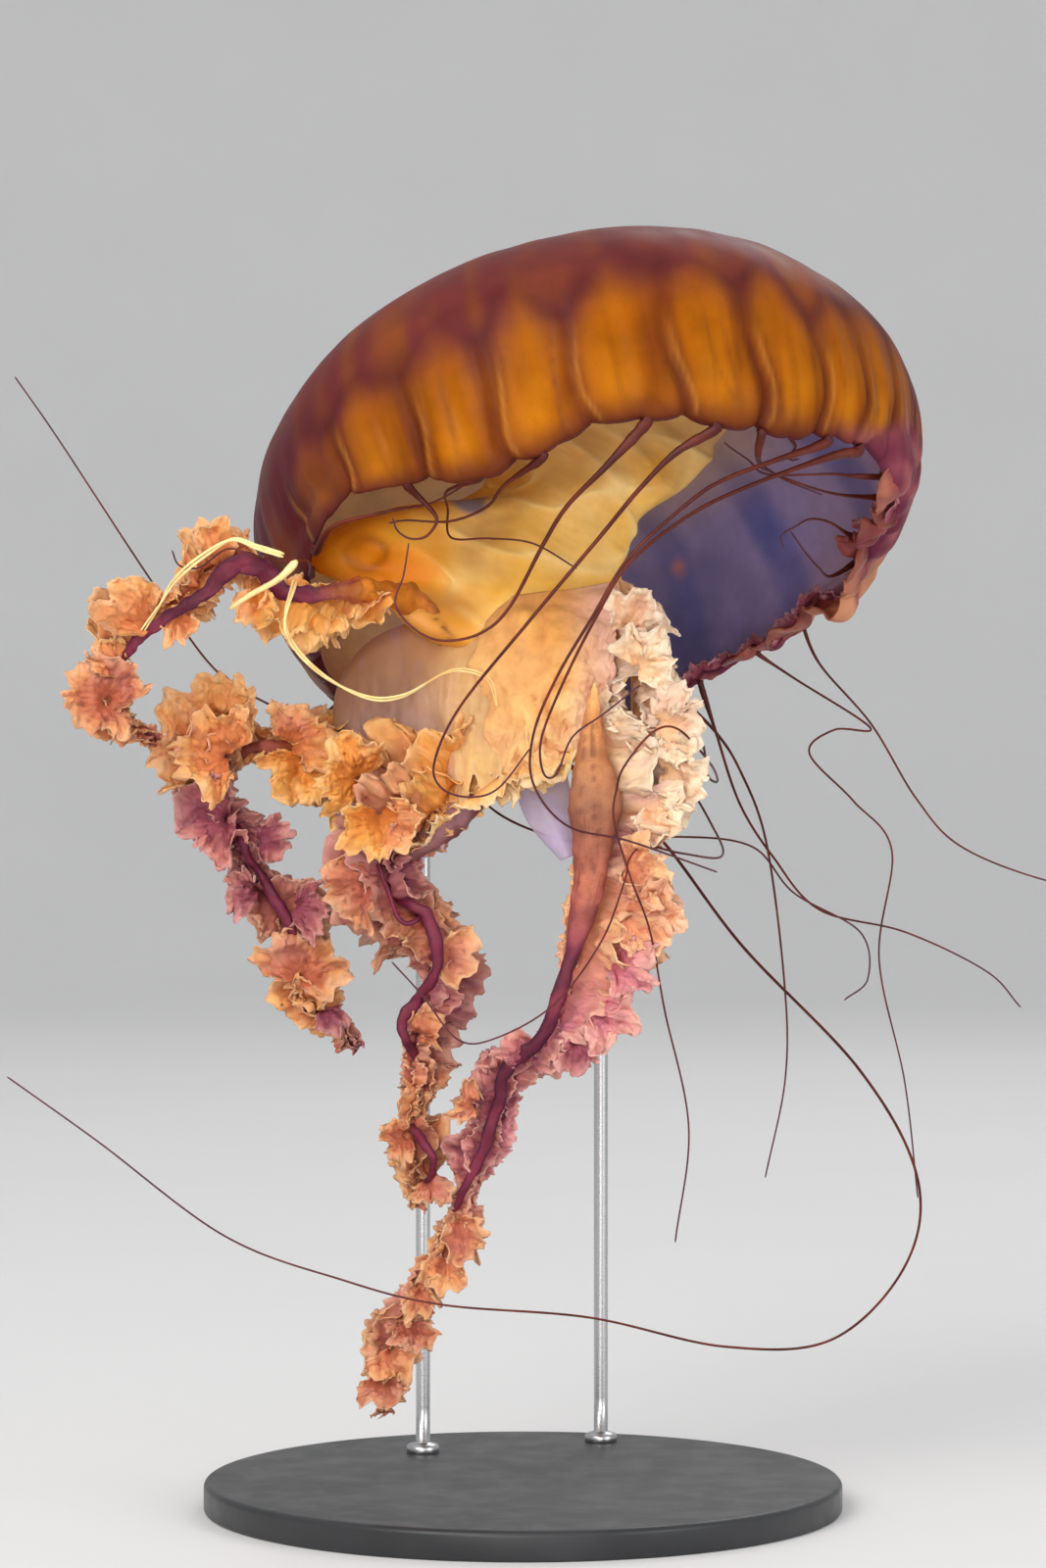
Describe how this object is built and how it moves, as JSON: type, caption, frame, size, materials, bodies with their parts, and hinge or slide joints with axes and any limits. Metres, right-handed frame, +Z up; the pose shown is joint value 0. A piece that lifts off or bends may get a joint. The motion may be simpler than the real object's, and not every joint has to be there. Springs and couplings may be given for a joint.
{
  "type": "sea nettle jellyfish model",
  "caption": "Life-size sea nettle jellyfish in a swimming pose: ribbed amber bell, frilled oral arms and trailing maroon tentacles, held on a plain rod display stand.",
  "frame": {"origin": "centre of the stand base's flat underside", "axes": "+Z up; -Y towards the viewer of the opening side; +X to that viewer's right"},
  "size_m": [0.4655, 0.2637, 0.5145],
  "materials": {
    "bell": "wet translucent jelly, maroon crown over amber, darker grooves",
    "stalk": "wet translucent cream-yellow",
    "orange_lobe": "wet translucent orange",
    "oral_arm": "soft peach-orange frills on a maroon rib",
    "pale_frill": "soft cream and lavender frill",
    "pale_veil": "thin pale lavender veil",
    "tentacle": "wet maroon",
    "filament": "soft cream",
    "stand_base": "satin charcoal",
    "stand_rod": "brushed"
  },
  "bodies": {
    "root": {"arm_centre_1": "oral_arm", "arm_centre_2": "oral_arm", "arm_centre_3": "oral_arm", "arm_centre_4": "oral_arm", "arm_left_1": "oral_arm", "arm_left_2": "oral_arm", "arm_left_3": "oral_arm", "arm_lower_1": "oral_arm", "arm_lower_2": "oral_arm", "arm_lower_3": "oral_arm", "arm_lower_4": "oral_arm", "arm_right_1": "oral_arm", "arm_right_2": "oral_arm", "arm_right_3": "oral_arm", "arm_right_4": "oral_arm", "arm_right_5": "oral_arm", "arm_right_collar": "pale_frill", "arm_right_crescent": "pale_veil", "bell": "bell", "filament_long": "filament", "filament_thick": "filament", "filament_wrap": "filament", "manubrium": "stalk", "orange_lobe": "orange_lobe", "stand_base": "stand_base", "stand_rod_left": "stand_rod", "stand_rod_right": "stand_rod", "tentacle_01": "tentacle", "tentacle_02": "tentacle", "tentacle_03": "tentacle", "tentacle_04": "tentacle", "tentacle_05_1": "tentacle", "tentacle_05_2": "tentacle", "tentacle_06": "tentacle", "tentacle_07_1": "tentacle", "tentacle_07_2": "tentacle", "tentacle_08_1": "tentacle", "tentacle_08_2": "tentacle", "tentacle_09": "tentacle", "tentacle_10": "tentacle", "tentacle_11": "tentacle", "tentacle_12": "tentacle", "tentacle_13": "tentacle", "tentacle_14_1": "tentacle", "tentacle_14_2": "tentacle", "tentacle_15": "tentacle", "tentacle_16": "tentacle", "tentacle_17_1": "tentacle", "tentacle_17_2": "tentacle", "tentacle_17_3": "tentacle", "tentacle_18": "tentacle", "tentacle_19": "tentacle", "tentacle_20": "tentacle", "tentacle_21_1": "tentacle", "tentacle_21_2": "tentacle", "tentacle_22_1": "tentacle", "tentacle_22_2": "tentacle", "tentacle_23": "tentacle", "tentacle_24": "tentacle"}
  },
  "joints": []
}
